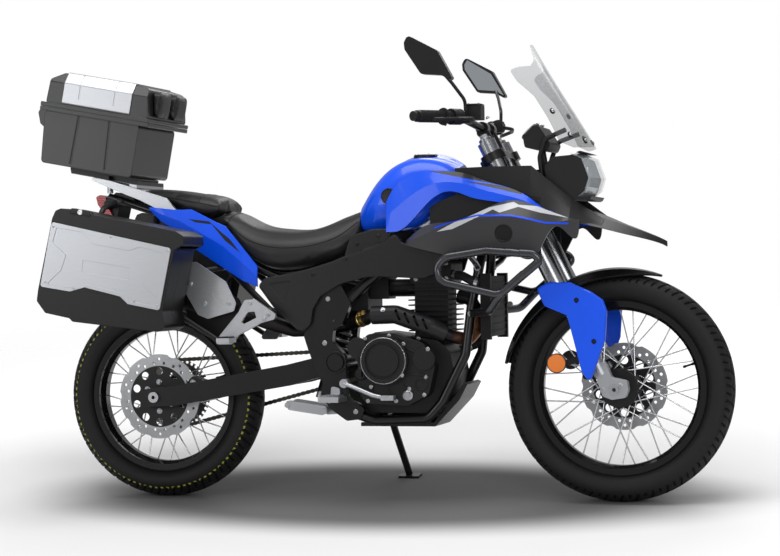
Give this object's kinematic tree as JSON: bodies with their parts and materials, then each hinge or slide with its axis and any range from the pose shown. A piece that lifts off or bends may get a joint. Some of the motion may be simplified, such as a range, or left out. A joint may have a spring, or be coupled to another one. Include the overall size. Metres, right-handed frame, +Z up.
{
  "type": "adventure motorcycle",
  "caption": "Adventure motorcycle with wire wheels, side cases, a top box and crash bars, leaning on its side stand.",
  "frame": {"origin": "centre of the machine's footprint box on the ground", "axes": "+X forward along the machine, +Y to the rider's left, +Z up"},
  "size_m": [2.1208, 0.9078, 1.3733],
  "materials": {
    "tyre": "matt",
    "black_metal": "satin",
    "spoke_steel": "bright",
    "disc_steel": "brushed",
    "fork_silver": "satin",
    "cast_silver": "satin",
    "blue_paint": "gloss",
    "blue_tank": "gloss",
    "black_plastic": "matt",
    "grey_plastic": "satin",
    "gunmetal": "gloss",
    "pipe_copper": "heat stained",
    "seat_vinyl": "smooth",
    "screen": "clear",
    "lamp_clear": "clear",
    "lamp_red": "gloss",
    "case_silver": "brushed",
    "rubber": "matt",
    "mirror_black": "satin",
    "chain_steel": "oiled"
  },
  "bodies": {
    "frame": {"drive_chain": "chain_steel", "main_frame": "black_metal", "seat_subframe": "black_metal", "swingarm": "black_metal", "rear_axle": "spoke_steel", "rear_suspension": "cast_silver", "engine": "black_metal", "exhaust": "pipe_copper", "exhaust_shields": "black_metal", "radiator": "black_metal", "skid_plate": "black_plastic", "crash_bars": "gunmetal", "foot_controls": "cast_silver", "passenger_pegs": "cast_silver", "fuel_tank": "blue_tank", "blue_panels": "blue_paint", "side_covers": "grey_plastic", "inner_fairing": "black_plastic", "beak": "grey_plastic", "headlight_shell": "black_plastic", "headlight_lens": "lamp_clear", "windscreen": "screen", "cockpit": "black_plastic", "rider_seat": "seat_vinyl", "pillion_seat": "seat_vinyl", "tail_tray": "black_plastic", "frame_covers": "grey_plastic", "tail_lamp": "lamp_red", "luggage_racks": "cast_silver", "right_case_shell": "black_plastic", "left_case_shell": "black_plastic", "box_shell": "black_plastic"},
    "steering": {"fork_outer_tubes": "fork_silver", "fork_lowers": "cast_silver", "fork_clamps": "black_metal", "front_axle": "spoke_steel", "front_mudguard": "black_plastic", "fork_guards": "blue_paint", "front_caliper": "black_metal", "handlebar": "black_metal", "hand_controls": "rubber", "mirrors": "mirror_black"},
    "front_wheel": {"front_tyre": "tyre", "front_rim": "black_metal", "front_spokes": "spoke_steel", "front_brake_disc": "disc_steel"},
    "rear_wheel": {"rear_tyre": "tyre", "rear_rim": "black_metal", "rear_spokes": "spoke_steel", "rear_brake_disc": "disc_steel", "rear_sprocket": "disc_steel"},
    "side_stand": {"side_stand": "black_metal"},
    "right_lid": {"right_case_lid": "black_plastic", "right_case_face": "case_silver"},
    "left_lid": {"left_case_lid": "black_plastic", "left_case_face": "case_silver"},
    "top_box_lid": {"box_lid": "black_plastic", "box_panel": "case_silver", "backrest_pads": "seat_vinyl"}
  },
  "joints": [
    {"name": "steering_turn", "type": "hinge", "parent": "frame", "child": "steering", "pos_m": [0.35915, 0.00677, 0.96869], "axis": [-0.4384, 0.1251, 0.89], "range_deg": [-32, 32]},
    {"name": "front_wheel_spin", "type": "hinge", "parent": "steering", "child": "front_wheel", "pos_m": [0.72937, -0.08321, 0.32848], "axis": [0, 0.9903, -0.1392], "continuous": true},
    {"name": "rear_wheel_spin", "type": "hinge", "parent": "frame", "child": "rear_wheel", "pos_m": [-0.67065, -0.08641, 0.3057], "axis": [0, 0.9903, -0.1392], "continuous": true},
    {"name": "side_stand_fold", "type": "hinge", "parent": "frame", "child": "side_stand", "pos_m": [-0.02365, 0.0779, 0.25333], "axis": [0.0302, 0.9465, 0.3214], "range_deg": [0, 98]},
    {"name": "right_case_lid_open", "type": "hinge", "parent": "frame", "child": "right_lid", "pos_m": [-0.72498, -0.38331, 0.56427], "axis": [0.9781, -0.0289, -0.2059], "range_deg": [0, 90]},
    {"name": "left_case_lid_open", "type": "hinge", "parent": "frame", "child": "left_lid", "pos_m": [-0.72498, 0.27027, 0.47242], "axis": [-0.9781, 0.0289, 0.2059], "range_deg": [0, 90]},
    {"name": "top_box_lid_open", "type": "hinge", "parent": "frame", "child": "top_box_lid", "pos_m": [-0.65357, 0.02801, 1.11984], "axis": [0, 0.9903, -0.1392], "range_deg": [0, 85]}
  ]
}
